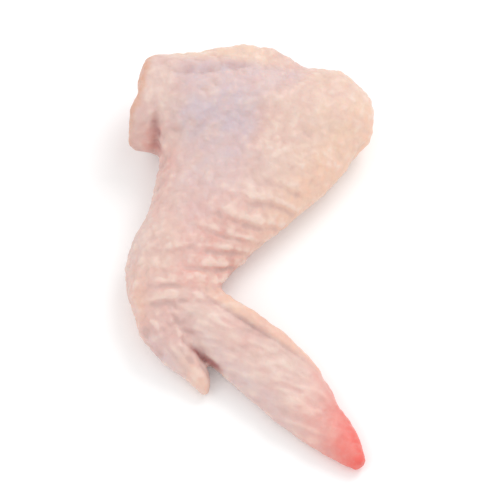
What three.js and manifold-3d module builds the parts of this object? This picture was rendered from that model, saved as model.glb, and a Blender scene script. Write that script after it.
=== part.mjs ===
// A raw whole chicken wing, lying on its inner side with the outer skin up: drumette, flat and tip in a
// folded Z, with the thumb digit beside the tip and the web of skin between drumette and flat.
//
// Millimetres, +Z up. The wing lies on z = 0, and the origin is under the middle of its box. +X runs along
// the drumette from the cut shoulder to the elbow, and +Y from the tip's point towards the drumette.
//
// The body is one soft form: its limbs are distance fields that melt into each other, and a surface net
// turns the sum into triangles. The shoulder end is cut across. The muscle shows there, a little way in
// from the skin's edge, and runs on through the drumette as a solid of its own.
import * as THREE from 'three';
import { mergeVertices } from 'three/addons/utils/BufferGeometryUtils.js';
import Module from 'manifold-3d';

const wasm = await Module();
wasm.setup();

// ---- Driving dimensions ----
const DRUMETTE_LENGTH = 56; // elbow joint to the cut shoulder, in plan
const DRUMETTE_HEADING = 176; // degrees in plan, from +X towards +Y
const FLAT_LENGTH = 73; // elbow joint to wrist joint
const FLAT_HEADING = 232;
const TIP_LENGTH = 79; // wrist joint to the point
const TIP_HEADING = -45;
const THUMB_LENGTH = 20;
const THUMB_HEADING = -54;
const THUMB_AWAY = 15.8; // wrist joint to the thumb's root, on a bearing in degrees
const THUMB_BEARING = 261;
const DRUMETTE_THICK = 31; // lying height of the fleshy belly
const ELBOW_THICK = 25;
const FLAT_THICK = 21;
const WRIST_THICK = 18;
const TIP_THICK = 12;
const WEB_THICK = 15.5; // skin and thin flesh between drumette and flat, with a corner near each joint
const WEB_CORNERS = { shoulder: [17, -9, 13], elbow: [-7, -6, 13], wrist: [-2, 14, 10.5] };
const SKIN = 2.4; // skin and fat over the muscle that shows at the cut
const GAP = 0.3; // clearance between skin and muscle
const MEAT_RECESS = 3; // how far the muscle has drawn back from the skin's edge
const MEAT_SWELL = 3.2; // how far its face swells out again in the middle
const MEAT_REACH = 12; // from the face's middle to where the swelling ends
const CLEFT_DEPTH = 1.8; // the cleft between its two bundles
const CLEFT_WIDTH = 2;
const CLEFT_ASIDE = 1.8; // from the face's middle to the cleft
const CLEFT_SLANT = 0.5; // how far the cleft leans aside for each millimetre up
const GRAIN_DEPTH = 0.4; // the muscle's grain at the cut
const EDGE_WAVES = { lean: 0.6, oval: 0.15, scallops: 0.15 }; // how uneven the skin's edge is
const THUMB_FREE = 0.4; // share of the thumb's length that the wrist's flesh covers from above
const THUMB_SKIN = { from: 0.5, to: 0.8, low: 1.5, high: 4.5 }; // skin low in the gap: shares and heights
const LUMP_DEPTH = 0.4; // slow lumps of the flesh
const LUMP_FADE = { low: 1, high: 6 }; // heights between which they grow to their full depth
const FILLET = { roll: 3, flat: 7, web: 10, edge: 4, fold: 2.5, tip: 4, rim: 2.4, face: 1, table: 1.5 };
const THUMB_FILLET = { root: 6.5, end: 1 };
const BODY_CELL = 2.15; // size of the net's cells
const CORE_CELL = 2.7;

const ELBOW = new THREE.Vector2(22.3, 47.6);
const WRIST = walk(ELBOW, FLAT_LENGTH, FLAT_HEADING);
const POINT = walk(WRIST, TIP_LENGTH, TIP_HEADING);
const SHOULDER = walk(ELBOW, DRUMETTE_LENGTH, DRUMETTE_HEADING);
const THUMB_ROOT = walk(WRIST, THUMB_AWAY, THUMB_BEARING);
const THUMB_END = walk(THUMB_ROOT, THUMB_LENGTH, THUMB_HEADING);
const CUT_MIDDLE = new THREE.Vector3(SHOULDER.x + 1.9, SHOULDER.y, 14);
const CUT_FACING = new THREE.Vector3(-0.93, 0.33, -0.15).normalize(); // leans a little under

/** The point in plan that lies a length away from another, on a heading in degrees. */
function walk(from, length, heading) {
  const turn = THREE.MathUtils.degToRad(heading);
  return new THREE.Vector2(from.x + length * Math.cos(turn), from.y + length * Math.sin(turn));
}

// ---- Distance fields ----

/** Joins two distances with a fillet of the given size. */
function meld(a, b, size) {
  const share = Math.max(size - Math.abs(a - b), 0) / size;
  return Math.min(a, b) - (share * share * size) / 4;
}

/** Keeps what lies in both fields, with the edge rounded off. */
function trim(a, b, size) {
  return -meld(-a, -b, size);
}

/**
 * A limb of oval section. Each station is [share, aside, z, half width, half height]: share runs from 0 at
 * one joint to 1 at the other, and aside is the way off their line, to the left of it.
 */
function limb(from, to, stations) {
  const along = to.clone().sub(from);
  const left = new THREE.Vector2(-along.y, along.x).normalize();
  const place = ([share, aside, z]) => {
    const on = from.clone().addScaledVector(along, share).addScaledVector(left, aside);
    return new THREE.Vector3(on.x, on.y, z);
  };
  const size = ([, , , width, height]) => new THREE.Vector3(width, height, 0);
  const middle = new THREE.CatmullRomCurve3(stations.map(place), false, 'centripetal');
  const sizes = new THREE.CatmullRomCurve3(stations.map(size), false, 'centripetal');
  const steps = (stations.length - 1) * 5;
  const spine = Array.from({ length: steps + 1 }, (_, i) => middle.getPoint(i / steps));
  const girth = Array.from({ length: steps + 1 }, (_, i) => sizes.getPoint(i / steps));
  return (p) => {
    let best = Infinity;
    for (let i = 0; i < steps; i++) {
      const a = spine[i];
      const b = spine[i + 1];
      const [x, y, z] = [p.x - a.x, p.y - a.y, p.z - a.z];
      const [bx, by, bz] = [b.x - a.x, b.y - a.y, b.z - a.z];
      const reach = (x * bx + y * by + z * bz) / (bx * bx + by * by + bz * bz);
      const t = Math.min(Math.max(reach, 0), 1);
      const width = girth[i].x + (girth[i + 1].x - girth[i].x) * t;
      const height = girth[i].y + (girth[i + 1].y - girth[i].y) * t;
      const aside = Math.hypot(x - bx * t, y - by * t);
      const up = z - bz * t;
      const ratio = Math.max(Math.hypot(aside / width, up / height), 1e-6);
      best = Math.min(best, Math.hypot(aside, up) * (1 - 1 / ratio));
    }
    return best;
  };
}

/** A sheet of flesh over a triangle, of the given thickness. */
function web(a, b, c, thick) {
  const triangle = new THREE.Triangle(a, b, c);
  const nearest = new THREE.Vector3();
  return (p) => triangle.closestPointToPoint(p, nearest).distanceTo(p) - thick / 2;
}

/** The drumette's stations, less a layer all round. */
const drumetteLess = (layer) => [
  [0.3, -2, 13, 14 - layer, 13 - layer],
  [0.46, -2.5, 14, 15.6 - layer, DRUMETTE_THICK / 2 - layer],
  [0.66, -2, 14.3, 15.2 - layer, DRUMETTE_THICK / 2 - layer],
  [0.86, -1.2, 13.8, 14.4 - layer, 14.2 - layer],
  [1, -1, 13.2, 14.4 - layer, 13.4 - layer],
  [1.14, -1, 13.2, 14.4 - layer, 13.4 - layer],
];

const drumette = limb(ELBOW, SHOULDER, [
  [0, -1.5, 11.8, 12.5, ELBOW_THICK / 2],
  [0.15, -2, 12, 12.5, 12.4],
  ...drumetteLess(0),
]);
const muscle = limb(ELBOW, SHOULDER, [
  [0.17, -2, 12.5, 7, 6],
  ...drumetteLess(SKIN),
]);

const flat = limb(ELBOW, WRIST, [
  [0, 0.5, 11.8, 13.5, ELBOW_THICK / 2],
  [0.2, 0.4, 10.8, 14.8, FLAT_THICK / 2 + 1],
  [0.45, -1.5, 9.8, 14.5, FLAT_THICK / 2],
  [0.7, -2.6, 9, 13, FLAT_THICK / 2 - 0.8],
  [0.9, -2.4, 8.4, 12.8, WRIST_THICK / 2],
  [1, -1.5, 8.2, 13, WRIST_THICK / 2],
]);

const tip = limb(WRIST, POINT, [
  [0, -0.5, 8, 10.8, WRIST_THICK / 2 - 0.5],
  [0.18, 0, 7, 9.6, 7.8],
  [0.3, 0.5, 6.2, 10.1, 7],
  [0.47, 1.5, 5.4, 10.9, TIP_THICK / 2],
  [0.62, 1.5, 4.8, 10.4, 5.4],
  [0.77, 0.2, 4, 8, 4.7],
  [0.9, -0.2, 3.4, 5.4, 4],
  [0.98, -0.8, 2.9, 2.7, 3.2],
]);

const thumb = limb(THUMB_ROOT, THUMB_END, [
  [-0.1, 0, 7.2, 5.8, 6.2],
  [0.3, 0.3, 5.8, 4.8, 5.2],
  [0.6, 1, 4.6, 4, 4.2],
  [0.85, 0.9, 3.6, 2.8, 3.3],
  [0.98, 0.1, 3, 1.6, 2.6],
]);

const leadingEdge = limb(SHOULDER, WRIST, [
  [0.24, 10.8, 12, 5, 6.2],
  [0.42, 8.6, 10.5, 5.2, 6.2],
  [0.62, 3.4, 9.5, 6.5, 6.8],
  [0.84, -3, 8.8, 9, 8],
  [1, -2.8, 8.3, 10, 8.3],
]);

const webCorner = (joint, [x, y, z]) => new THREE.Vector3(joint.x + x, joint.y + y, z);
const webbing = web(
  webCorner(SHOULDER, WEB_CORNERS.shoulder),
  webCorner(ELBOW, WEB_CORNERS.elbow),
  webCorner(WRIST, WEB_CORNERS.wrist),
  WEB_THICK,
);

/** A roll of fat under the skin along the far side of the drumette. */
const fatRoll = limb(ELBOW, SHOULDER, [
  [0.17, -12, 18.5, 1.8, 1.8],
  [0.31, -14.6, 21.6, 3.1, 3],
  [0.46, -14.6, 22.8, 2.7, 2.5],
  [0.62, -13.2, 22.5, 1.5, 1.5],
]);

/** The fold of skin that stands up along the tip's front edge. */
const tipFold = limb(WRIST, POINT, [
  [0.2, 6.2, 12.5, 1.8, 1.8],
  [0.42, 8.6, 9.6, 2.2, 2.2],
  [0.6, 8.4, 7.8, 2, 2],
  [0.76, 5.4, 6.8, 1.2, 1.2],
]);

/** Slow lumps of the flesh, from crossing waves that die out at the table. */
function lumps(p) {
  const long = Math.sin(p.x / 5.1 + p.y / 9.3) * Math.sin(p.y / 6.2 - p.z / 7.4 + 1.1);
  const short = Math.sin(p.x / 3.4 - p.y / 4.6 + 2.3) * Math.sin(p.y / 3.9 + p.z / 4.2);
  return LUMP_DEPTH * (long + short / 2) * THREE.MathUtils.smoothstep(p.z, LUMP_FADE.low, LUMP_FADE.high);
}

/** How far a point is outside the plane of the cut. */
function beyondCut(p) {
  return CUT_FACING.dot(p) - CUT_FACING.dot(CUT_MIDDLE);
}

/** The skin's edge round the cut is uneven. */
function skinEdge(p) {
  const round = Math.atan2(p.z - CUT_MIDDLE.z, p.y - CUT_MIDDLE.y);
  const { lean, oval, scallops } = EDGE_WAVES;
  const wave = lean * Math.sin(round) - oval * Math.cos(2 * round) - scallops * Math.sin(5 * round);
  return beyondCut(p) - wave;
}

/** The thumb grows out of the wrist with a wide fillet. Its end is free, but for skin low in the gap. */
function thumbFillet(p) {
  const along = THUMB_END.clone().sub(THUMB_ROOT);
  const share = along.dot(new THREE.Vector2(p.x, p.y).sub(THUMB_ROOT)) / along.lengthSq();
  const above = THREE.MathUtils.smoothstep(share, 0, THUMB_FREE);
  const below = THREE.MathUtils.smoothstep(share, THUMB_SKIN.from, THUMB_SKIN.to);
  const height = THREE.MathUtils.smoothstep(p.z, THUMB_SKIN.low, THUMB_SKIN.high);
  const free = THREE.MathUtils.lerp(below, above, height);
  return THREE.MathUtils.lerp(THUMB_FILLET.root, THUMB_FILLET.end, free);
}

/** How far a point is outside the muscle's cut face, which swells in the middle and is cleft in two. */
function meatFace(p) {
  const up = p.z - CUT_MIDDLE.z;
  const across = p.y - CUT_MIDDLE.y;
  const swell = Math.max(1 - (up * up + across * across) / MEAT_REACH ** 2, 0);
  const cleft = Math.exp(-(((across - CLEFT_SLANT * up + CLEFT_ASIDE) / CLEFT_WIDTH) ** 2));
  const grain = GRAIN_DEPTH * Math.sin(p.y / 1.7 + p.z / 2.3);
  return beyondCut(p) + MEAT_RECESS - MEAT_SWELL * swell + CLEFT_DEPTH * cleft * swell + grain;
}

function body(p) {
  let d = trim(meld(drumette(p), fatRoll(p), FILLET.roll), skinEdge(p), FILLET.rim);
  d = meld(d, flat(p), FILLET.flat);
  d = meld(d, webbing(p), FILLET.web);
  d = meld(d, leadingEdge(p), FILLET.edge);
  d = meld(d, meld(tip(p), tipFold(p), FILLET.fold), FILLET.tip);
  d = meld(d, thumb(p), thumbFillet(p));
  return trim(d + lumps(p), -p.z, FILLET.table);
}

// ---- Meshing ----

const AXES = [0, 1, 2];
const CORNERS = Array.from({ length: 8 }, (_, n) => [n & 1, (n >> 1) & 1, n >> 2]);
const NEIGHBOURS = CORNERS.map((_, n) => [n ^ 1, n ^ 2, n ^ 4]);

/**
 * The surface where a distance field is zero, as a closed solid. Each cell of the grid that the surface
 * crosses gives one vertex for each sheet of the surface in it.
 */
function surfaceNet(field, box, cell) {
  const count = box.getSize(new THREE.Vector3()).divideScalar(cell).ceil().addScalar(1);
  const [nx, ny, nz] = count.toArray();
  const index = ([i, j, k]) => i + nx * (j + ny * k);
  const place = ([i, j, k]) => new THREE.Vector3(i, j, k).multiplyScalar(cell).add(box.min);
  const corners = [];
  for (let k = 0; k < nz; k++) {
    for (let j = 0; j < ny; j++) {
      for (let i = 0; i < nx; i++) corners.push([i, j, k]);
    }
  }
  const values = Float64Array.from(corners, (at) => field(place(at)));
  const isCell = (at) => AXES.every((axis) => at[axis] < count.getComponent(axis) - 1);

  const positions = [];
  const vertexOf = new Map();
  for (const at of corners.filter(isCell)) {
    const value = CORNERS.map((step) => values[index(at.map((n, axis) => n + step[axis]))]);
    for (const sheet of sheetsOf(value)) {
      const middle = new THREE.Vector3();
      let crossings = 0;
      for (const a of sheet) {
        vertexOf.set(8 * index(at) + a, positions.length / 3);
        for (const b of NEIGHBOURS[a].filter((n) => value[n] >= 0)) {
          const [from, to] = [a, b].map((n) => new THREE.Vector3(...CORNERS[n]));
          middle.add(from.lerp(to, value[a] / (value[a] - value[b])));
          crossings++;
        }
      }
      middle.divideScalar(crossings);
      const start = place([at[0] + middle.x, at[1] + middle.y, at[2] + middle.z]);
      positions.push(...settle(field, start, cell / 2).toArray());
    }
  }

  const triangles = [];
  const point = (n) => new THREE.Vector3().fromArray(positions, 3 * n);
  for (const at of corners) {
    for (const axis of AXES) {
      const next = at.map((n, other) => n + (other === axis ? 1 : 0));
      if (next[axis] === count.getComponent(axis)) continue;
      const inside = values[index(at)] < 0;
      if (inside === values[index(next)] < 0) continue;
      const end = inside ? at : next;
      const [u, v] = [(axis + 1) % 3, (axis + 2) % 3];
      const ring = [[0, 0], [1, 0], [1, 1], [0, 1]].map(([du, dv]) => {
        const cellAt = at.map((n, other) => n - (other === u ? du : 0) - (other === v ? dv : 0));
        const corner = AXES.reduce((sum, other) => sum + ((end[other] - cellAt[other]) << other), 0);
        return vertexOf.get(8 * index(cellAt) + corner);
      });
      if (!inside) ring.reverse();
      const [a, b, c, d] = ring;
      if (point(a).distanceTo(point(c)) < point(b).distanceTo(point(d))) triangles.push(a, b, c, a, c, d);
      else triangles.push(b, c, d, b, d, a);
    }
  }
  return new wasm.Manifold(new wasm.Mesh({
    numProp: 3,
    vertProperties: new Float32Array(positions),
    triVerts: new Uint32Array(triangles),
  }));
}

/** The inside corners of a crossed cell, in groups that hang together. */
function sheetsOf(value) {
  const left = new Set(value.flatMap((v, n) => (v < 0 ? [n] : [])));
  if (left.size === 8) return [];
  const sheets = [];
  while (left.size) {
    const sheet = [left.values().next().value];
    left.delete(sheet[0]);
    for (const a of sheet) {
      for (const b of NEIGHBOURS[a]) if (left.delete(b)) sheet.push(b);
    }
    sheets.push(sheet);
  }
  return sheets;
}

/** Moves a point down the slope of a field to where it is zero, by no more than a limit. */
function settle(field, start, limit) {
  const p = start.clone();
  const step = 0.05;
  const shifts = AXES.map((axis) => new THREE.Vector3().setComponent(axis, step));
  for (let round = 0; round < 3; round++) {
    const here = field(p);
    const slope = new THREE.Vector3(...shifts.map((shift) => field(p.clone().add(shift)) - here));
    slope.divideScalar(step);
    p.addScaledVector(slope, -here / Math.max(slope.lengthSq(), 0.25));
  }
  return p.sub(start).clampLength(0, limit).add(start);
}

const TOUCHES = 0.15; // what is this near the table lies on it

function geometryOf(solid, middle) {
  const { numProp, numVert, vertProperties, triVerts } = solid.getMesh();
  const positions = new Float32Array(numVert * 3);
  for (let n = 0; n < numVert; n++) {
    const [x, y, z] = vertProperties.subarray(n * numProp, n * numProp + 3);
    positions.set([x - middle.x, y - middle.y, z < TOUCHES ? 0 : z], n * 3);
  }
  const geometry = new THREE.BufferGeometry();
  geometry.setAttribute('position', new THREE.BufferAttribute(positions, 3));
  geometry.setIndex(new THREE.BufferAttribute(triVerts, 1));
  const merged = mergeVertices(geometry, 1e-4);
  merged.computeVertexNormals();
  return merged;
}

const BODY_BOX = new THREE.Box3(new THREE.Vector3(-46, -76, -4), new THREE.Vector3(46, 76, 38));
const CORE_BOX = new THREE.Box3(new THREE.Vector3(-62, 28, -4), new THREE.Vector3(32, 74, 38));

const sleeve = surfaceNet(body, BODY_BOX, BODY_CELL).subtract(surfaceNet(muscle, CORE_BOX, CORE_CELL));
const core = surfaceNet((p) => trim(muscle(p) + GAP, meatFace(p), FILLET.face), CORE_BOX, CORE_CELL);

const { min, max } = sleeve.boundingBox();
const middle = new THREE.Vector2((min[0] + max[0]) / 2, (min[1] + max[1]) / 2);

const wing = new THREE.Group();
wing.name = 'chicken_wing';
function add(name, solid, color, roughness) {
  const material = new THREE.MeshStandardMaterial({ color, roughness, metalness: 0 });
  const mesh = new THREE.Mesh(geometryOf(solid, middle), material);
  mesh.name = name;
  wing.add(mesh);
}

add('wing_skin', sleeve, 0xe9c9be, 0.5);
add('drumette_meat', core, 0xc9736c, 0.45);

export default wing;
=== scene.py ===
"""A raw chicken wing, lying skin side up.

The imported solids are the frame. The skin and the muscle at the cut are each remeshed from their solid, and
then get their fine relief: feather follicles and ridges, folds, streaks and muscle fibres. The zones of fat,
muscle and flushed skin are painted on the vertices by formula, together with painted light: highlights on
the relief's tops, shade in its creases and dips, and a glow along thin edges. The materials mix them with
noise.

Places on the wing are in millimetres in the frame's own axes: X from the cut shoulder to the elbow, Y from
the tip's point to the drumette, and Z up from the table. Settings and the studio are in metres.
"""

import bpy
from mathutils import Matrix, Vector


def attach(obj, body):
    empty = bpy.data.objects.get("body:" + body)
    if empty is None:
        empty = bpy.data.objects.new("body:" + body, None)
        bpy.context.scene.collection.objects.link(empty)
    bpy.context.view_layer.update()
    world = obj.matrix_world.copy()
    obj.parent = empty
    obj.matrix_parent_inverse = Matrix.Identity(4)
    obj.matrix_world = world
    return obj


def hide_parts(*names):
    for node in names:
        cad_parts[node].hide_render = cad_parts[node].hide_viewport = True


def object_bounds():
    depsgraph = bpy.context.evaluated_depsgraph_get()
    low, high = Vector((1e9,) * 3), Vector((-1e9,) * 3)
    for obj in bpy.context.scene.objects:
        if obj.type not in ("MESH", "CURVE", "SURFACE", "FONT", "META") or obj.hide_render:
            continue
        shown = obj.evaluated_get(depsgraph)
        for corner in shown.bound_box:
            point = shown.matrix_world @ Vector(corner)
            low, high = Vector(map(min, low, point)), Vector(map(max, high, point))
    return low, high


bl_info = {
    "name": "Raw chicken wing",
    "version": (1, 0, 0),
    "blender": (4, 5, 0),
    "location": "3D View > Sidebar > Wing",
    "description": "Builds the skin, the muscle and the studio of a raw chicken wing around its solids",
    "category": "Object",
}

from math import cos, pi, radians, sin

import bmesh
import bpy
import numpy as np
from bpy.props import FloatProperty, FloatVectorProperty, IntProperty, PointerProperty
from mathutils import Vector, noise

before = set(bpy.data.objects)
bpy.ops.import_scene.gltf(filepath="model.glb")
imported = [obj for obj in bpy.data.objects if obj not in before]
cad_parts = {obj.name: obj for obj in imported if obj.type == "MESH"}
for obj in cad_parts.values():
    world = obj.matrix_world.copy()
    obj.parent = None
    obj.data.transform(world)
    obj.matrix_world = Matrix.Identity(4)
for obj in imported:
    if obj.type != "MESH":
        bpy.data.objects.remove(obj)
CAD_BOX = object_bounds()
MM = 0.001


# ---- Places on the wing, in millimetres ----

def walk(start, length, heading):
    """The point in plan a length away from another, on a heading in degrees."""
    turn = radians(heading)
    return start + np.array([cos(turn), sin(turn)]) * length


ELBOW = np.array([22.25, 47.68])
WRIST = walk(ELBOW, 73, 232)
POINT = walk(WRIST, 79, -45)
SHOULDER = walk(ELBOW, 56, 176)
THUMB_ROOT = walk(WRIST, 15.8, 261)
THUMB_END = walk(THUMB_ROOT, 20, -54)

CUT_LEAN = np.array([-0.93, 0.33, -0.15])
CUT_FACING = CUT_LEAN / np.linalg.norm(CUT_LEAN)
CUT_MIDDLE = np.array([SHOULDER[0] + 1.9, SHOULDER[1], 14.0])


class Limb:
    """A line in plan between two joints. A point has a place along it, and one to its left."""

    def __init__(self, start, end):
        self.start = start
        self.length = np.linalg.norm(end - start)
        self.along = (end - start) / self.length
        self.left = np.array([-self.along[1], self.along[0]])

    def place(self, points):
        """How far points are along the line, and how far to its left."""
        away = points[:, :2] - self.start
        return away @ self.along, away @ self.left

    def at(self, along, left):
        """The point in plan that far along it, and that far to its left."""
        return self.start + self.along * along + self.left * left


DRUMETTE = Limb(ELBOW, SHOULDER)
FLAT = Limb(ELBOW, WRIST)
TIP = Limb(WRIST, POINT)
THUMB = Limb(THUMB_ROOT, THUMB_END)


# ---- Fields over points ----

def rise(value, low, high):
    """0 below low and 1 above high, with a smooth step between."""
    share = np.clip((value - low) / (high - low), 0, 1)
    return share * share * (3 - 2 * share)


def within(value, low, high, soft):
    """1 between low and high, fading out over soft on each side."""
    return rise(value, low - soft, low + soft) * (1 - rise(value, high - soft, high + soft))


def blob(points, middle, long, wide, heading):
    """A soft oval spot in plan: 1 at its middle and 0.37 at its edge."""
    turn = radians(heading)
    away = points[:, :2] - np.array(middle)
    along = away @ np.array([cos(turn), sin(turn)])
    across = away @ np.array([-sin(turn), cos(turn)])
    return np.exp(-((along / long) ** 2) - (across / wide) ** 2)


def rough(points, size, seed):
    """Smooth noise from -1 to 1, with lumps about size across. Each seed gives other lumps."""
    scaled = points / size + seed
    return np.array([noise.noise(p) for p in scaled.tolist()]) * 1.6


def layered(points, size, seed):
    """Noise with finer lumps on its lumps."""
    finer = rough(points, size / 2, seed + 7) / 2 + rough(points, size / 4, seed + 13) / 4
    return (rough(points, size, seed) + finer) / 1.5


def cells(points, size, seed):
    """How far each point is from the nearest of a scatter of places, in that scatter's spacing."""
    scaled = points / size + seed
    return np.array([noise.voronoi(p)[0][0] for p in scaled.tolist()])


def walls(points, size, seed):
    """How near each point is to a wall between cells, from 0 inside a cell to 1 on a wall."""
    scaled = points / size + seed
    near = np.array([noise.voronoi(p)[0][:2] for p in scaled.tolist()])
    return 1 - rise(near[:, 1] - near[:, 0], 0.0, 0.16)


def crease(distance, width):
    """A narrow valley, 1 deep on its line."""
    return np.exp(-((distance / width) ** 2))


# ---- Meshes ----

def points_of(mesh):
    """The mesh's points in millimetres."""
    flat = np.empty(len(mesh.vertices) * 3, np.float32)
    mesh.vertices.foreach_get("co", flat)
    return flat.reshape(-1, 3).astype(float) / MM


def normals_of(mesh):
    """The mesh's unit normals at its points."""
    flat = np.empty(len(mesh.vertices) * 3, np.float32)
    mesh.vertex_normals.foreach_get("vector", flat)
    return flat.reshape(-1, 3).astype(float)


def move_points(mesh, points):
    """Puts the mesh's points at places in millimetres."""
    mesh.vertices.foreach_set("co", (points * MM).astype(np.float32).ravel())
    mesh.update()


def paint(mesh, name, values):
    """Keeps a number for each point, which the material reads by name."""
    attribute = mesh.attributes.new(name, "FLOAT", "POINT")
    attribute.data.foreach_set("value", np.clip(values, 0, 1).astype(np.float32))


def solid_of(node):
    """The node's solid as an editable mesh with shared vertices."""
    work = bmesh.new()
    work.from_mesh(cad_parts[node].data)
    bmesh.ops.remove_doubles(work, verts=work.verts, dist=1e-6)
    return work


def piece_from(work, name):
    """A new object with the editable mesh's faces. It uses that mesh up."""
    mesh = bpy.data.meshes.new(name)
    work.to_mesh(mesh)
    work.free()
    piece = bpy.data.objects.new(name, mesh)
    bpy.context.scene.collection.objects.link(piece)
    return piece


def remeshed(piece, voxel):
    """Gives the piece one even skin of small faces, with what overlaps in it made one."""
    change = piece.modifiers.new("Even faces", "REMESH")
    change.mode = "VOXEL"
    change.voxel_size = voxel
    found = piece.evaluated_get(bpy.context.evaluated_depsgraph_get())
    mesh = bpy.data.meshes.new_from_object(found)
    piece.modifiers.clear()
    piece.data = mesh
    mesh.name = piece.name
    return mesh


PULL_IN = 0.6  # how far a round of smoothing pulls each point towards its neighbours
PUSH_OUT = -0.62  # and how far it then pushes it out again


def smooth_points(mesh, rounds, keep=0.0):
    """Evens out the facets without shrinking. keep is how far each point holds its place, from 0 to 1."""
    points = points_of(mesh)
    ends = np.empty(len(mesh.edges) * 2, np.int32)
    mesh.edges.foreach_get("vertices", ends)
    a, b = ends.reshape(-1, 2).T
    count = len(points)
    share = (np.bincount(a, minlength=count) + np.bincount(b, minlength=count)).astype(float)
    free = np.broadcast_to(1.0 - keep, count)[:, None]
    for _ in range(rounds):
        for pull in (PULL_IN, PUSH_OUT):
            middle = np.stack([
                (np.bincount(a, points[b, axis], count) + np.bincount(b, points[a, axis], count)) / share
                for axis in range(3)
            ], 1)
            points += (middle - points) * pull * free
    move_points(mesh, points)


def finish_piece(piece, node, material):
    """Gives the piece its material, and its node's place in the frame."""
    piece.data.shade_smooth()
    piece.data.materials.clear()
    piece.data.materials.append(material)
    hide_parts(node)
    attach(piece, "root")


# ---- The skin's relief ----

# the ridges of the flat and the folds of the wrist, which run together like a fan
FAN = np.array([85.0, -15.0])  # the place that they run towards
FAN_TOP = 20.0  # the height at which that place is in plan
FAN_LEAN = 0.577  # how far they shift back for each millimetre that the skin lies below it
HIND_EDGE = 14.5  # from the flat's line to its hind edge, after that shift
RIDGES_BEGIN = (16, 32)  # where the ridges fade in along that edge
RIDGES_END = (66, 80)  # where they fade out along it
RIDGES_REACH = (11, 31)  # how far inward from it they fade out
FOLD_SPACING = 6.5  # from one fold of the wrist to the next, along that edge
FOLDS_ALONG = (54, 80)  # the stretch of it that they start from
FOLDS_INWARD = (2, 19)  # and how far inward they run

# the tip and the thumb
RIM_START = 1.0  # from the tip's line to the inner side of its rim, at the wrist
RIM_SPREAD = 0.205  # how much further out that side is for each millimetre along the tip
RIM_ALONG = (9, 60)  # the stretch of the tip that has the rim
GROOVE_ASIDE = 0.8  # from that side inward to the groove that runs along it
GROOVE_ALONG = (13, 50)
GROOVE_WIDTH = 0.5
STREAK_SLANT = 0.4  # how far the tip's streaks turn off its line for each millimetre along it
STREAKS_ALONG = (5, 72)
THUMB_STREAKS_ALONG = (-5, 18)
THUMB_STREAKS_ASIDE = (-8, 4)

# the creases, each with its width
ROLL_CREASE = Limb(np.array([1.0, 58.6]), np.array([-22.0, 54.2]))
ROLL_WIDTH = 2.3
FLAP_NOTCH = Limb(np.array([-28.8, 42.0]), np.array([-28.2, 34.5]))
NOTCH_WIDTH = 0.9
THUMB_GAP = Limb(np.array([-17.5, -29.8]), np.array([-8.6, -37.2]))
GAP_WIDTH = 0.8

# how far each kind of relief stands out or cuts in
FOLD_HEIGHT = 0.52
STREAK_HEIGHT = 0.26
THUMB_STREAK_HEIGHT = 0.45
LUMP_HEIGHT = 0.3
SLOW_LUMP_HEIGHT = 0.4
RIM_HEIGHT = 0.5
ROLL_DEPTH = 1.5
NOTCH_DEPTH = 1.5
GAP_DEPTH = 0.3
GROOVE_DEPTH = 0.3


def outside_cut(points):
    """How far points are beyond the plane of the cut."""
    return (points - CUT_MIDDLE) @ CUT_FACING


def fan_place(points):
    """Where a point's ridge line meets the flat's hind edge, and how far the point is inward from there."""
    shifted = points[:, :2] + np.outer(points[:, 2] - FAN_TOP, [0, FAN_LEAN])
    away = shifted - FAN
    across = np.minimum(away @ FLAT.left, -8)
    crossing = FAN + away * ((HIND_EDGE - (FAN - ELBOW) @ FLAT.left) / across)[:, None]
    return (crossing - ELBOW) @ FLAT.along, np.linalg.norm(shifted - crossing, axis=1)


def folds(phase, slim=1.0):
    """Soft folds, from 0 to 1, one for each whole number of phase. A slim above 1 narrows them."""
    return (0.5 - 0.5 * np.cos(2 * pi * phase)) ** slim


def patchy(points, size, seed, low, high):
    """An uneven strength, from low to high."""
    return low + (high - low) * rise(rough(points, size, seed), -0.5, 0.5)


def feather_ridges(points, spacing):
    """The folds that large feathers leave along the flat's hind edge, and their strength at each point."""
    edge, inward = fan_place(points)
    phase = edge / spacing + 0.5 + 0.22 * rough(points, 15, 3.1) + 0.06 * rough(points, 5, 8.2)
    zone = rise(edge, *RIDGES_BEGIN) * (1 - rise(edge, *RIDGES_END)) * (1 - rise(inward, *RIDGES_REACH))
    return 0.68 * folds(phase, 1.1) + 0.32 * folds(2 * phase + 0.15), zone * patchy(points, 7, 21.0, 0.45, 1)


def wrist_folds(points):
    """Crumpled folds of slack skin, from the inner bend across the wrist, and their strength."""
    edge, inward = fan_place(points)
    phase = edge / FOLD_SPACING + 0.5 + 0.15 * rough(points, 10, 5.5) + 0.08 * rough(points, 4, 6.5)
    finer = 2 * phase + 0.35 * rough(points, 6, 7.5)
    zone = within(edge, *FOLDS_ALONG, 6) * within(inward, *FOLDS_INWARD, 6)
    return 0.8 * folds(phase, 0.7) + 0.2 * folds(finer), zone * patchy(points, 5, 31.0, 0.25, 1)


def streaks(points, line, slant):
    """Fine ridges and valleys that run nearly along a line in plan, from about -1 to 1."""
    along, aside = line.place(points)
    drawn_out = np.stack([along * 0.3, (aside - slant * along) * 0.8, points[:, 2] * 0.8], 1)
    return 0.75 * rough(drawn_out, 1.4, 15.0) + 0.6 * rough(drawn_out, 3.2, 19.0)


def tip_streaks(points):
    """Low folds that run across the tip, far aslant, and their strength."""
    along, aside = TIP.place(points)
    middle = rise(aside, -14, -9) * (1 - rise(aside, 5, 9))
    zone = within(along, *STREAKS_ALONG, 6) * middle * (1 - tip_rim(points))
    return streaks(points, TIP, STREAK_SLANT), zone


def thumb_streaks(points):
    """Low folds that run along the thumb, and their strength."""
    along, aside = THUMB.place(points)
    zone = within(along, *THUMB_STREAKS_ALONG, 4) * within(aside, *THUMB_STREAKS_ASIDE, 1.5)
    return streaks(points, THUMB, 0), zone


def rim_side(points):
    """How far points are beyond the inner side of the tip's rim, and how far along the tip."""
    along, aside = TIP.place(points)
    return aside - RIM_START - RIM_SPREAD * along, along


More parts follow.
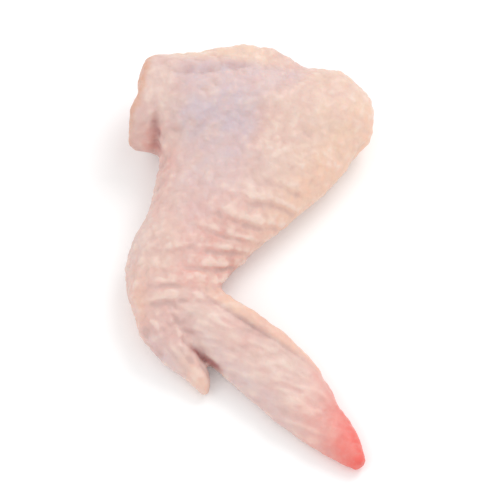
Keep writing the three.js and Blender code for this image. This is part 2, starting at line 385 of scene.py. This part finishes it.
def tip_rim(points):
    """How far points are onto the thick rim along the tip's hind edge, from 0 to 1."""
    beyond, along = rim_side(points)
    return rise(beyond - 0.3 * rough(points, 6, 17.0), -0.6, 0.6) * within(along, *RIM_ALONG, 12)


def rim_groove(points):
    """The groove along the inner side of that rim."""
    beyond, along = rim_side(points)
    return crease(beyond + GROOVE_ASIDE, GROOVE_WIDTH) * within(along, *GROOVE_ALONG, 8)


def line_crease(points, line, width):
    """A crease that runs the length of a line in plan, and fades at both ends."""
    along, aside = line.place(points)
    return crease(aside + 0.5 * rough(points, 4, 61.0), width) * within(along, 0, line.length, 2.5)


def line_relief(points, upper, sizes):
    """How far ridges, folds and streaks stand out, and how busy they keep the skin, from 0 to 1."""
    ridge, ridged = feather_ridges(points, sizes.row_spacing / MM)
    fold, folded = wrist_folds(points)
    streak, streaked = tip_streaks(points)
    thumb_streak, thumb_streaked = thumb_streaks(points)
    height = (
        sizes.row_height / MM * (ridge - 0.45) * ridged
        + FOLD_HEIGHT * (fold - 0.5) * folded
        + STREAK_HEIGHT * streak * streaked
        + THUMB_STREAK_HEIGHT * thumb_streak * thumb_streaked
    )
    return height * upper, np.clip((ridged + folded + 0.5 * streaked) * upper, 0, 1)


def relief(points, normals, sizes):
    """How far each point of the skin stands out, in millimetres, and the fields that colour it, painted
    highlights and shade among them.
    """
    upper = rise(normals[:, 2], -0.55, 0.2)
    low = rise(points[:, 2], 0.3, 3)
    on_tip = rise(TIP.place(points)[0], 10, 22)
    near_elbow = blob(points, ELBOW, 22, 18, 50)
    lines, busy = line_relief(points, upper, sizes)
    # the rim, its groove and the creases; the material paints the creases and the groove with painted shade
    marks = {
        "rim": tip_rim(points) * upper,
        "groove": rim_groove(points) * upper,
        "roll": line_crease(points, ROLL_CREASE, ROLL_WIDTH) * upper * patchy(points, 5, 63.0, 0.7, 1),
        "notch": line_crease(points, FLAP_NOTCH, NOTCH_WIDTH) * upper,
        "gap": line_crease(points, THUMB_GAP, GAP_WIDTH) * upper,
    }
    # bumps and lumps are lower where the lines are busy, on the tip and at the elbow
    wavering = points + 0.5 * rough(points, 3, 41.0)[:, None]
    pebbles = 1 - 1.6 * cells(wavering, sizes.bump_spacing / MM, 2.0)
    quiet = (1 - 0.45 * busy) * (1 - 0.6 * on_tip)
    bumps = sizes.bump_height / MM * pebbles * quiet * (0.45 + 0.55 * upper) * (1 - 0.12 * near_elbow)
    lumps = LUMP_HEIGHT * layered(points, 3.2, 4.4) * (1 - 0.5 * on_tip) * (1 - 0.3 * near_elbow)
    slow = rough(points, 12, 1.7) + 0.625 * rough(points, 6, 2.9)
    slow_lumps = SLOW_LUMP_HEIGHT * slow * (1 - 0.4 * on_tip)
    deep = (
        ROLL_DEPTH * marks["roll"]
        + NOTCH_DEPTH * marks["notch"]
        + GAP_DEPTH * marks["gap"]
        + GROOVE_DEPTH * marks["groove"]
    )
    height = (bumps + lumps + slow_lumps + lines + RIM_HEIGHT * marks["rim"] - deep) * low
    # painted highlights and shade: spots lightens the bumps' tops, and tops is what the material paints
    # lighter on the relief's tops and darker in its dips and in the roll's crease
    spots = 0.25 * (pebbles - 0.2) * quiet
    tops = 0.5 + (1.2 * lines + spots + 0.8 * lumps - 0.25 * marks["roll"]) / 0.8
    return height, {"tops": tops, **marks}


# ---- The skin's zones of colour ----

MUSCLE_SIDE = Limb(np.array([10.3, 47.6]), np.array([-9.7, 13.6]))  # muscle to its right, fat to its left
FIBRES = Limb(SHOULDER, walk(SHOULDER, 10, 48))  # how the muscle's bundles run under the skin
WANDER = 3.0  # how far the zones' edges stray from their plain ovals
WANDER_SIZE = 12  # how long their bays are

# Each spot is its strength, its middle in plan, half its length, half its width, and its length's heading.
# Those named wandering have straying edges, and the others are plain ovals.
FAT_WANDERING = (
    (0.35, [24, 56], 9, 6, 20),  # the elbow's far side
    (0.3, [24, 35], 12, 8, 50),  # its near side
    (0.9, [35, 44], 9, 5, 70),  # its point
    (0.4, [-27, -1], 9, 5, 70),  # the outer bend of the wrist
)
MUSCLE_WANDERING = (
    (0.4, TIP.at(36, -9), 28, 4, -45),  # painted shade along the tip's front edge
    (0.4, [-17, 8], 10, 7, 60),  # the inner end of the flat
    (0.35, [-4, 24], 10, 8, 60),  # the middle of the web
)
MUSCLE_STEADY = (
    (0.7, THUMB.at(10, -5.5), 13, 3, -54),  # painted shade along the thumb's outer side
    (0.15, [-34, -1], 9, 3.5, 80),  # the edge of the outer bend
)
# peach fat with a painted glow, brighter than the fat, along thin edges
WARM_WANDERING = (
    (1.1, [37, 40], 13, 4.5, 70),  # the elbow's hind edge
    (0.1, [-31, 49], 5, 11, 90),  # the flap
)
WARM_STEADY = (
    (0.6, [-32.8, -16], 8, 2.2, -80),  # the wrist's front edge
    (0.6, THUMB.at(17, 0), 7, 3, -54),  # the thumb's end
)
FLUSH_WANDERING = (
    (0.25, [-32, -20], 12, 3.5, -75),  # the wrist's front edge
    (0.95, [-12, -1], 17, 10, 40),  # the inner bend
    (0.4, [-14, -9], 9, 5, 10),  # the wrist in front of it
    (0.35, [-1, -27], 15, 6, -42),  # the tip's root
    (0.15, [0, 14], 14, 10, 50),  # the middle of the flat
    (0.2, [-18, 7], 8, 6, 50),  # its inner end
    (0.35, THUMB.at(0, 2), 10, 4, -54),  # the thumb's root
    (0.5, [-26, 24], 15, 2.5, 88),  # the web's front edge
    (0.4, [18, -53], 14, 7, -45),  # the tip, before its coral end
)
FLAP_NOTCH_SHADE = (0.9, [-30.0, 37.5], 6, 3, 90)  # painted shade: the shadowed pink below the top of the flap
# painted highlights, and one painted shade, added to the relief's tops
LIGHT_AND_SHADE_SPOTS = (
    (0.14, [-31, 49], 5, 12, 90),  # the flap
    (0.14, [34, 47], 4, 7, 80),  # the elbow's point
    (0.2, [-30, -1], 9, 6, 80),  # the outer bend
    (0.12, TIP.at(45, 1), 13, 6, -45),  # the middle of the tip
    (0.14, TIP.at(62, -1), 8, 5, -45),  # where its coral end begins
    (0.1, [10, 40], 9, 7, 50),  # the drumette, towards the elbow
    (-0.12, TIP.at(31, 5.5), 7, 2.5, -40),  # a painted shade, beside the tip's rim
)


def spots_of(points, spots):
    """The sum of a list of spots at each point."""
    return sum(strength * blob(points, *place) for strength, *place in spots)


def lean_side(points, warped):
    """The front of the drumette and the web, where the skin lies thin over muscle."""
    down, across = MUSCLE_SIDE.place(warped)
    along, aside = DRUMETTE.place(points)
    lean = rise(-across, -3, 6) * (1 - rise(down, 18, 52)) * (points[:, 1] > -20)
    lean *= rise(-aside, -40, -30) * (1 - rise(-aside, 7, 12))
    return lean * (1 - 0.75 * rise(along, 39, 48))


def fat_zone(points, warped, fields):
    """Cream fat: beyond the muscle's side, along the drumette's far side and on the tip's rim."""
    down, across = MUSCLE_SIDE.place(warped)
    along, aside = DRUMETTE.place(points)
    behind = 0.5 * rise(across, -4, 12) * (1 - rise(down, 25, 60))
    roll = 0.9 * rise(-aside, 8, 12.5) * rise(along, 8, 22) * (1 - rise(along, 42, 52))
    return behind + roll + 0.95 * fields["rim"] + spots_of(warped, FAT_WANDERING)


def muscle_zone(points, warped, fields):
    """Grey-lilac muscle, whose bundles show through the skin, and the same lilac as painted shade in the
    roll's crease and along the front edges of the tip and the thumb.
    """
    along, aside = FIBRES.place(points)
    fibres = rough(np.stack([along * 0.22, aside, points[:, 2]], 1), 2.6, 97.0)
    middle = 0.45 + 0.55 * blob(warped, [-9, 44], 17, 9, 186)
    lean = lean_side(points, warped) * middle * (1 + 0.45 * fibres)
    steady = spots_of(points, MUSCLE_STEADY)
    # the roll's crease gets painted shade in the muscle's lilac
    return lean + 0.6 * fields["roll"] + steady + spots_of(warped, MUSCLE_WANDERING)


def warm_zone(points, warped, fields):
    """Peach-coloured fat along the edges, painted brighter than the fat as a glow of light through the thin
    edges.
    """
    along, aside = FLAT.place(points)
    hind_edge = 0.5 * rise(aside, 6, 13) * within(along, 8, 66, 8)
    steady = spots_of(points, WARM_STEADY)
    return hind_edge + 0.3 * fields["rim"] + steady + spots_of(warped, WARM_WANDERING)


def flush_zone(points, warped, fields):
    """Blood-flushed skin, mostly round the wrist and towards the tip's end, and painted shade below the top
    of the flap.
    """
    along = TIP.place(points)[0]
    rim = 0.4 * fields["rim"] * within(along, 26, 48, 6)
    # painted shade in the flush colour, below the top of the flap
    flap = spots_of(points, [FLAP_NOTCH_SHADE]) * (1 - rise(points[:, 2], 20, 24))
    return rim + flap + 0.35 * within(along, 60, 79, 8) + spots_of(warped, FLUSH_WANDERING)


def point_zone(points):
    """The coral end of the tip. It begins further back on the hind edge than in front."""
    along, aside = TIP.place(points)
    far = along + 0.75 * aside + 2 * rough(points, 8, 80)
    return (0.3 * rise(far, 48, 66) + 0.7 * rise(far, 60, 80)) * (along > 35)


def bare_zone(points):
    """The skin's cut edge."""
    along = DRUMETTE.place(points)[0]
    return rise(outside_cut(points) + 0.6 * rough(points, 4, 90), -3.2, -0.6) * (along > 44)


def tops_zone(points, tops, fat, muscle):
    """How far the relief is painted lit or shaded, from 0 to 1: above 0.5 it gets painted highlights, below
    it painted shade. It shows less over muscle, and its painted shade in the dips shows less over fat.
    """
    tops = 0.5 + (tops - 0.5) * (1 - 0.5 * np.clip(muscle, 0, 1))
    # spots of painted highlight, and one of painted shade
    tops += spots_of(points, LIGHT_AND_SHADE_SPOTS)
    return np.where(tops < 0.5, 0.5 + (tops - 0.5) * (1 - 0.4 * np.clip(fat, 0, 1)), tops)


def zones(points, fields):
    """Where each colour of the skin shows, from 0 to 1, by the names that the material reads."""
    wander = np.stack([rough(points, WANDER_SIZE, seed) for seed in (50, 60, 70)], 1)
    warped = points + WANDER * wander
    fat = fat_zone(points, warped, fields)
    muscle = muscle_zone(points, warped, fields)
    return {
        "fat": fat,
        "muscle": muscle,
        "flush": flush_zone(points, warped, fields),
        "warm": warm_zone(points, warped, fields),
        "point": point_zone(points),
        "bare": bare_zone(points),
        # painted shade: the dark colour in the flap's notch, the thumb's gap, the rim's groove and the
        # roll's crease
        "raw": 0.6 * fields["notch"] + fields["gap"] + 0.15 * fields["groove"] + 0.18 * fields["roll"],
        "tops": tops_zone(points, fields["tops"], fat, muscle),
    }


# ---- Materials ----

# the numbers of the mix node's colour sockets
MIX_SHARE = 0
MIX_BELOW = 6
MIX_ABOVE = 7
MIX_COLOUR = 2


class Nodes:
    """Adds nodes to a material, each a column to the right of the last."""

    def __init__(self, name):
        self.material = bpy.data.materials.new(name)
        self.material.use_nodes = True
        self.tree = self.material.node_tree
        self.shader = self.tree.nodes["Principled BSDF"]
        self.count = 0

    def add(self, kind, **settings):
        """A new node of a kind, with settings such as its operation."""
        node = self.tree.nodes.new(kind)
        node.location = (-200 * (self.count // 4 + 1), 220 * (self.count % 4))
        self.count += 1
        for name, value in settings.items():
            setattr(node, name, value)
        return node

    def link(self, source, target):
        self.tree.links.new(source, target)

    def place(self):
        """Where each point is on the piece."""
        return self.add("ShaderNodeTexCoord").outputs["Object"]

    def noise(self, size, detail=3.0, roughness=0.55, distortion=0.0):
        """Noise with lumps about that many metres across."""
        node = self.add("ShaderNodeTexNoise")
        self.link(self.place(), node.inputs["Vector"])
        node.inputs["Scale"].default_value = 1 / size
        node.inputs["Detail"].default_value = detail
        node.inputs["Roughness"].default_value = roughness
        node.inputs["Distortion"].default_value = distortion
        return node.outputs["Fac"]

    def spots(self, size):
        """The distance to the nearest of a scatter of places about that far apart."""
        node = self.add("ShaderNodeTexVoronoi")
        self.link(self.place(), node.inputs["Vector"])
        node.inputs["Scale"].default_value = 1 / size
        return node.outputs["Distance"]

    def painted(self, name):
        """A number that was painted on the mesh's points."""
        return self.add("ShaderNodeAttribute", attribute_name=name).outputs["Fac"]

    def ramp(self, source, low, high, top=1.0, bottom=0.0):
        """Maps low..high of a source to bottom..top, smoothly."""
        node = self.add("ShaderNodeMapRange", interpolation_type="SMOOTHSTEP")
        self.link(source, node.inputs["Value"])
        node.inputs["From Min"].default_value = low
        node.inputs["From Max"].default_value = high
        node.inputs["To Min"].default_value = bottom
        node.inputs["To Max"].default_value = top
        return node.outputs["Result"]

    def uneven(self, name, source, low, high, top, bottom):
        """A painted number that a source makes uneven, by a share from bottom to top."""
        return self.maths("MULTIPLY", self.painted(name), self.ramp(source, low, high, top, bottom))

    def maths(self, operation, a, b):
        """A sum or the like of two numbers or sources, kept from 0 to 1."""
        node = self.add("ShaderNodeMath", operation=operation, use_clamp=True)
        for value, socket in zip((a, b), node.inputs):
            if isinstance(value, (int, float)):
                socket.default_value = value
            else:
                self.link(value, socket)
        return node.outputs["Value"]

    def mix(self, share, below, above):
        """Colour above over colour below, by a share that is a number or a source."""
        node = self.add("ShaderNodeMix", data_type="RGBA")
        for value, number in ((share, MIX_SHARE), (below, MIX_BELOW), (above, MIX_ABOVE)):
            socket = node.inputs[number]
            if isinstance(value, (int, float)):
                socket.default_value = value
            elif isinstance(value, bpy.types.NodeSocket):
                self.link(value, socket)
            else:
                socket.default_value = (*value, 1.0)
        return node.outputs[MIX_COLOUR]

    def bump(self, source, depth, strength, under=None):
        """Relief too fine for the mesh, a depth in metres, on top of the relief under it."""
        node = self.add("ShaderNodeBump")
        node.inputs["Strength"].default_value = strength
        node.inputs["Distance"].default_value = depth
        self.link(source, node.inputs["Height"])
        if under is not None:
            self.link(under, node.inputs["Normal"])
        return node.outputs["Normal"]


def skin_material(looks):
    """Thin raw skin over cream fat and grey-lilac muscle, flushed at the wrist and coral at the point, with
    painted highlights on its relief, painted shade in its creases and dips and a painted glow along its thin
    edges.
    """
    n = Nodes("Raw skin")
    colour = n.mix(n.ramp(n.noise(0.008, 4.0), 0.36, 0.64), looks.skin, looks.skin_pink)
    muscle = n.uneven("muscle", n.noise(0.006, 3.0, 0.55, 0.5), 0.3, 0.66, 1.0, 0.55)
    colour = n.mix(muscle, colour, looks.muscle)
    fat = n.uneven("fat", n.noise(0.0045, 4.0, 0.6), 0.28, 0.62, 1.0, 0.5)
    colour = n.mix(fat, colour, looks.fat)
    # peach fat with a painted glow along the thin edges
    warm = n.uneven("warm", n.noise(0.003, 3.0, 0.6), 0.3, 0.65, 1.0, 0.5)
    colour = n.mix(warm, colour, looks.warm)
    flush = n.uneven("flush", n.noise(0.0035, 3.0), 0.3, 0.65, 1.0, 0.4)
    colour = n.mix(flush, colour, looks.flush)
    # painted highlights on the relief's tops, stronger on the bumps over fat, and painted shade in its dips
    colour = n.mix(n.ramp(n.painted("tops"), 0.5, 0.95, 0.6), colour, looks.ridge_highlight)
    highlights_on_fat = n.uneven("fat", n.painted("tops"), 0.5, 0.9, 0.35, 0.0)
    colour = n.mix(highlights_on_fat, colour, looks.ridge_highlight)
    colour = n.mix(n.ramp(n.painted("tops"), 0.05, 0.5, 0.0, 0.65), colour, looks.valley)
    point = n.uneven("point", n.noise(0.004, 3.0), 0.25, 0.6, 1.0, 0.82)
    colour = n.mix(point, colour, looks.point)
    bare = n.uneven("bare", n.noise(0.003, 4.0, 0.6), 0.3, 0.65, 0.9, 0.35)
    colour = n.mix(bare, colour, looks.bare)
    # painted shade in the deepest creases
    colour = n.mix(n.maths("MULTIPLY", n.painted("raw"), 0.9), colour, looks.raw)
    colour = n.mix(n.ramp(n.noise(0.0016, 3.0, 0.6), 0.45, 0.75, 0.18), colour, looks.skin_pink)
    n.link(colour, n.shader.inputs["Base Color"])
    dull = n.ramp(n.noise(0.003, 3.0), 0.3, 0.7, looks.dullness + 0.08, looks.dullness - 0.08)
    n.link(dull, n.shader.inputs["Roughness"])
    fine = n.bump(n.noise(0.0013, 3.0, 0.6), 0.0002, 0.7)
    pores = n.bump(n.spots(0.0011), 0.00012, 0.6, fine)
    n.link(pores, n.shader.inputs["Normal"])
    n.shader.inputs["Subsurface Weight"].default_value = 0.25
    n.shader.inputs["Subsurface Radius"].default_value = (1.0, 0.4, 0.25)
    n.shader.inputs["Subsurface Scale"].default_value = 0.0016
    n.shader.inputs["Coat Weight"].default_value = 0.08
    n.shader.inputs["Coat Roughness"].default_value = 0.35
    return n.material


def meat_material(looks):
    """Raw muscle: moist pink with pale sinew between the bundles and a dark red spot or two."""
    n = Nodes("Raw muscle")
    grain = n.noise(0.0012, 4.0, 0.6, 0.6)
    colour = n.mix(n.ramp(n.noise(0.006, 3.0), 0.35, 0.65), looks.meat, looks.meat_dark)
    colour = n.mix(n.ramp(grain, 0.5, 0.75, 0.3), colour, looks.sinew)
    colour = n.mix(n.maths("MULTIPLY", n.painted("sinew"), 0.6), colour, looks.sinew)
    colour = n.mix(n.ramp(n.noise(0.008, 2.0, 0.5, 0.8), 0.62, 0.72, 0.75), colour, looks.blood)
    n.link(colour, n.shader.inputs["Base Color"])
    n.link(n.ramp(grain, 0.3, 0.7, 0.45, 0.3), n.shader.inputs["Roughness"])
    n.link(n.bump(grain, 0.0002, 0.7), n.shader.inputs["Normal"])
    n.shader.inputs["Subsurface Weight"].default_value = 0.3
    n.shader.inputs["Subsurface Radius"].default_value = (1.0, 0.3, 0.2)
    n.shader.inputs["Subsurface Scale"].default_value = 0.002
    n.shader.inputs["Coat Weight"].default_value = 0.3
    n.shader.inputs["Coat Roughness"].default_value = 0.2
    return n.material


def floor_material(colour, glow):
    """A matt white board, a touch uneven, that is lit a little from below."""
    n = Nodes("Matt white board")
    greyer = tuple(0.985 * part for part in colour)
    shade = n.mix(n.ramp(n.noise(0.05, 2.0), 0.4, 0.6, 0.3), colour, greyer)
    n.link(shade, n.shader.inputs["Base Color"])
    n.shader.inputs["Roughness"].default_value = 0.7
    n.shader.inputs["Specular IOR Level"].default_value = 0.2
    n.shader.inputs["Emission Color"].default_value = (1, 1, 1, 1)
    n.shader.inputs["Emission Strength"].default_value = glow
    return n.material


# ---- Settings ----

def number_of(name, description, default, **kind):
    return FloatProperty(name=name, description=description, default=default, **kind)


def length_of(name, description, default):
    return number_of(name, description, default, unit="LENGTH", min=0, precision=5)


def colour_of(name, description, default):
    kind = {"subtype": "COLOR", "min": 0, "max": 1}
    return FloatVectorProperty(name=name, description=description, default=default, **kind)


def rounds_of(default):
    description = "Rounds of evening out the solid's facets"
    return IntProperty(name="Smoothing", description=description, default=default, min=0)


class WingSkinSettings(bpy.types.PropertyGroup):
    voxel: length_of("Face size", "How small the skin's faces are", 0.0005)
    smoothing: rounds_of(30)
    row_spacing: length_of("Row spacing", "From one large feather's ridge to the next", 0.0066)
    row_height: length_of("Row height", "How far those ridges stand out", 0.0007)
    bump_spacing: length_of("Bump spacing", "From one small feather's root to the next", 0.0027)
    bump_height: length_of("Bump height", "How far the roots' bumps stand out", 0.00042)
    dullness: number_of("Dullness", "The skin's mean roughness", 0.5, min=0, max=1)
    skin: colour_of("Skin", "Pale skin over fat", (0.72, 0.53, 0.47))
    skin_pink: colour_of("Pink skin", "The pinker blotches", (0.69, 0.47, 0.425))
    fat: colour_of("Fat", "Cream fat under the skin", (0.78, 0.57, 0.45))
    # peach fat, with a painted glow along the thin edges
    warm: colour_of("Warm fat", "Peach-coloured fat at the edges", (0.86, 0.54, 0.40))
    muscle: colour_of("Muscle", "Muscle that shows through the skin", (0.62, 0.505, 0.54))
    # also painted as shade below the top of the flap
    flush: colour_of("Flush", "Blood-flushed skin", (0.71, 0.39, 0.34))
    # painted highlights on the relief's tops, and painted shade in its dips
    ridge_highlight: colour_of("Ridge tops", "The tops of folds and bumps", (0.83, 0.66, 0.575))
    valley: colour_of("Valleys", "The skin between folds", (0.57, 0.37, 0.335))
    point: colour_of("Point", "The tip's coral end", (0.82, 0.125, 0.1))
    bare: colour_of("Bare edge", "The skin's cut edge", (0.66, 0.37, 0.26))
    # painted shade: the dark colour painted in the deepest creases
    raw: colour_of("Raw creases", "The deepest creases", (0.34, 0.11, 0.11))


class WingMeatSettings(bpy.types.PropertyGroup):
    voxel: length_of("Face size", "How small the muscle's faces are", 0.0005)
    smoothing: rounds_of(14)
    fibre_depth: length_of("Fibre depth", "How deep the grain of the cut face is", 0.0003)
    meat: colour_of("Meat", "Raw muscle", (0.62, 0.27, 0.25))
    meat_dark: colour_of("Darker meat", "The redder bundles", (0.50, 0.16, 0.15))
    sinew: colour_of("Sinew", "Pale sheaths between the bundles", (0.72, 0.47, 0.42))
    blood: colour_of("Blood", "Dark red spots", (0.32, 0.03, 0.03))


class WingStudioSettings(bpy.types.PropertyGroup):
    floor: colour_of("Floor", "The pale surface under the wing", (0.93, 0.93, 0.93))
    glow: number_of("Glow", "How much the floor is lit from below", 0.08, min=0)
    elevation: number_of("Elevation", "The camera's angle above the table", radians(60), subtype="ANGLE")
    distance: number_of("Distance", "From the camera to the wing", 2.0, unit="LENGTH")
    view_width: number_of("View width", "How much the frame takes in at the wing", 0.15, unit="LENGTH")
    key_power: number_of("Key light", "Power of the light behind and to the right", 3.2, unit="POWER")
    fill_power: number_of("Fill light", "Power of the soft light in front", 1.4, unit="POWER")
    sky: number_of("Sky", "Brightness of the white room", 0.9, min=0)


# ---- Operators ----

# the cut end, in millimetres
CAVITY_DEPTH = 5.5  # how far behind the cut the skin's piece is hollow
PLUG_SWELL = 0.9  # what fills it behind there reaches this far into the sleeve's wall
CUT_HOLD = 0.6  # how firmly the skin near the cut holds its place while the rest is smoothed, from 0 to 1
CUT_CALM = 0.8  # how much of the skin's relief is taken away there
RAGGED = 0.45  # how unevenly the skin's edge is cut
PULLED_CORNERS = (  # place in plan, width, lowest, highest and how the corner of the skin is drawn out
    ([-29, 61], 6, 15, 40, (-1.2, 1.0, 0.8)),
    ([-34.5, 38.5], 5, 5, 22, (-1.7, -0.3, 0.0)),
)
BUNDLE_WIDTH = 5.5  # of the muscle's bundles at its cut face
STRAND_WIDTH = 2.1  # of the strands in them
FACE_DEPTH = (-6, -3)  # from the cut inwards, where the face's relief fades in


class WING_OT_skin(bpy.types.Operator):
    """Dress the wing in its skin"""

    bl_idname = "wing.skin"
    bl_label = "Skin"

    def execute(self, context):
        sizes = context.scene.wing_skin
        work = self.filled_sleeve()
        piece = piece_from(work, "skin_of_the_wing")
        mesh = remeshed(piece, sizes.voxel)
        points = points_of(mesh)
        if not len(points):
            raise RuntimeError("the skin's solid gave no faces")
        near_cut = rise(outside_cut(points), -7, -2) * (points[:, 0] < -20) * (points[:, 1] > 25)
        smooth_points(mesh, sizes.smoothing, CUT_HOLD * near_cut)
        points, normals = points_of(mesh), normals_of(mesh)
        height, fields = relief(points, normals, sizes)
        height *= 1 - CUT_CALM * near_cut
        ragged = RAGGED * (rough(points, 5, 95) + 0.4 * rough(points, 2.2, 96))
        ragged *= rise(outside_cut(points), -4, -1)
        raised = points + normals * height[:, None] + CUT_FACING * ragged[:, None]
        for place, reach, low, high, pull in PULLED_CORNERS:
            strength = blob(points, place, reach, reach, 0) * within(points[:, 2], low, high, 3)
            raised += np.outer(strength, pull)
        raised[:, 2] = np.maximum(raised[:, 2], 0)
        move_points(mesh, raised)
        for name, values in zones(points, fields).items():
            paint(mesh, name, values)
        finish_piece(piece, "wing_skin", skin_material(sizes))
        return {"FINISHED"}

    def filled_sleeve(self):
        """The skin's solid, with the hollow round the drumette's muscle filled but for its mouth."""
        work = solid_of("wing_skin")
        plug = solid_of("drumette_meat")
        bmesh.ops.bisect_plane(
            plug,
            geom=[*plug.verts, *plug.edges, *plug.faces],
            plane_co=Vector((CUT_MIDDLE - CUT_FACING * CAVITY_DEPTH) * MM),
            plane_no=Vector(CUT_FACING),
            clear_outer=True,
        )
        bmesh.ops.holes_fill(plug, edges=[e for e in plug.edges if e.is_boundary])
        plug.normal_update()
        for v in plug.verts:
            v.co += v.normal * PLUG_SWELL * MM
        swollen = bpy.data.meshes.new("plug")
        plug.to_mesh(swollen)
        plug.free()
        work.from_mesh(swollen)
        bpy.data.meshes.remove(swollen)
        return work


class WING_OT_meat(bpy.types.Operator):
    """Give the muscle at the cut its bundles and grain"""

    bl_idname = "wing.meat"
    bl_label = "Muscle"

    def execute(self, context):
        sizes = context.scene.wing_meat
        piece = piece_from(solid_of("drumette_meat"), "muscle_of_the_drumette")
        mesh = remeshed(piece, sizes.voxel)
        smooth_points(mesh, sizes.smoothing)
        points, normals = points_of(mesh), normals_of(mesh)
        if not len(points):
            raise RuntimeError("the muscle's solid gave no faces")
        face = rise(outside_cut(points), *FACE_DEPTH) * rise(normals @ CUT_FACING, 0.1, 0.5)
        drawn_out = points * [0.4, 1, 0.8] + 1.6 * rough(points, 6, 3.0)[:, None]
        sheath = walls(drawn_out, BUNDLE_WIDTH, 4.0) + 0.35 * walls(drawn_out, STRAND_WIDTH, 9.0)
        grain = layered(points * [0.4, 1, 1], 1.6, 11.0)
        fibres = 1.6 * grain - 1.3 * sheath + 1.5 * rough(points, 7, 14.0)
        height = face * sizes.fibre_depth / MM * fibres
        move_points(mesh, points + normals * height[:, None])
        paint(mesh, "sinew", sheath * face * patchy(points, 5, 33.0, 0.2, 1))
        finish_piece(piece, "drumette_meat", meat_material(sizes))
        return {"FINISHED"}


# the studio, in metres
KEY_FROM = Vector((0.45, 0.55, 0.8))  # from the wing's middle to the key light
KEY_WIDTH = 0.6
FILL_FROM = Vector((-0.6, -0.5, 0.8))
FILL_WIDTH = 0.9
FLOOR_REACH = 1.5  # from the origin to each side of the floor
SENSOR = 36  # the camera's sensor, in its own millimetres


def aimed(thing, place, target):
    """Stands a light or a camera at a place, turned towards the target."""
    thing.location = place
    thing.rotation_euler = (Vector(target) - Vector(place)).to_track_quat("-Z", "Y").to_euler()
    bpy.context.scene.collection.objects.link(thing)
    return thing


def soft_light(name, place, target, width, power):
    """A round lamp that wide, in metres, turned towards the target."""
    light = bpy.data.lights.new(name, "AREA")
    light.shape = "DISK"
    light.size = width
    light.energy = power
    return aimed(bpy.data.objects.new(name, light), place, target)


class WING_OT_studio(bpy.types.Operator):
    """Lay out the pale floor, the soft light and the camera"""

    bl_idname = "wing.studio"
    bl_label = "Studio"

    def execute(self, context):
        looks = context.scene.wing_studio
        low, high = CAD_BOX
        middle = (low + high) / 2
        self.floor(looks)
        self.sky(looks)
        soft_light("Key", middle + KEY_FROM, middle, KEY_WIDTH, looks.key_power)
        soft_light("Fill", middle + FILL_FROM, middle, FILL_WIDTH, looks.fill_power)
        self.camera(looks, middle)
        context.scene.view_settings.view_transform = "Standard"
        return {"FINISHED"}

    def floor(self, looks):
        mesh = bpy.data.meshes.new("floor")
        signs = ((-1, -1), (1, -1), (1, 1), (-1, 1))
        mesh.from_pydata([(x * FLOOR_REACH, y * FLOOR_REACH, 0) for x, y in signs], [], [(0, 1, 2, 3)])
        mesh.materials.append(floor_material(looks.floor, looks.glow))
        floor = bpy.data.objects.new("floor", mesh)
        bpy.context.scene.collection.objects.link(floor)

    def sky(self, looks):
        world = bpy.data.worlds.new("White room")
        world.use_nodes = True
        room = world.node_tree.nodes["Background"]
        room.inputs["Color"].default_value = (1, 1, 1, 1)
        room.inputs["Strength"].default_value = looks.sky
        bpy.context.scene.world = world

    def camera(self, looks, middle):
        lens = bpy.data.cameras.new("Camera")
        lens.sensor_width = SENSOR
        lens.lens = SENSOR * looks.distance / looks.view_width
        back = Vector((0, -cos(looks.elevation), sin(looks.elevation)))
        camera = aimed(bpy.data.objects.new("Camera", lens), middle + back * looks.distance, middle)
        bpy.context.scene.camera = camera


class WING_PT_build(bpy.types.Panel):
    """Lists what builds the wing, with its sizes and colours"""

    bl_label = "Raw chicken wing"
    bl_space_type = "VIEW_3D"
    bl_region_type = "UI"
    bl_category = "Wing"

    def draw(self, context):
        for part in ("skin", "meat", "studio"):
            box = self.layout.box()
            box.operator(f"wing.{part}")
            settings = getattr(context.scene, f"wing_{part}")
            for name in settings.__annotations__:
                box.prop(settings, name)


CLASSES = (
    WingSkinSettings,
    WingMeatSettings,
    WingStudioSettings,
    WING_OT_skin,
    WING_OT_meat,
    WING_OT_studio,
    WING_PT_build,
)


def register():
    for found in CLASSES:
        bpy.utils.register_class(found)
    bpy.types.Scene.wing_skin = PointerProperty(type=WingSkinSettings)
    bpy.types.Scene.wing_meat = PointerProperty(type=WingMeatSettings)
    bpy.types.Scene.wing_studio = PointerProperty(type=WingStudioSettings)


def unregister():
    del bpy.types.Scene.wing_studio
    del bpy.types.Scene.wing_meat
    del bpy.types.Scene.wing_skin
    for found in reversed(CLASSES):
        bpy.utils.unregister_class(found)


def main():
    register()
    bpy.ops.wing.skin()
    bpy.ops.wing.meat()
    bpy.ops.wing.studio()


if __name__ == "__main__":
    main()
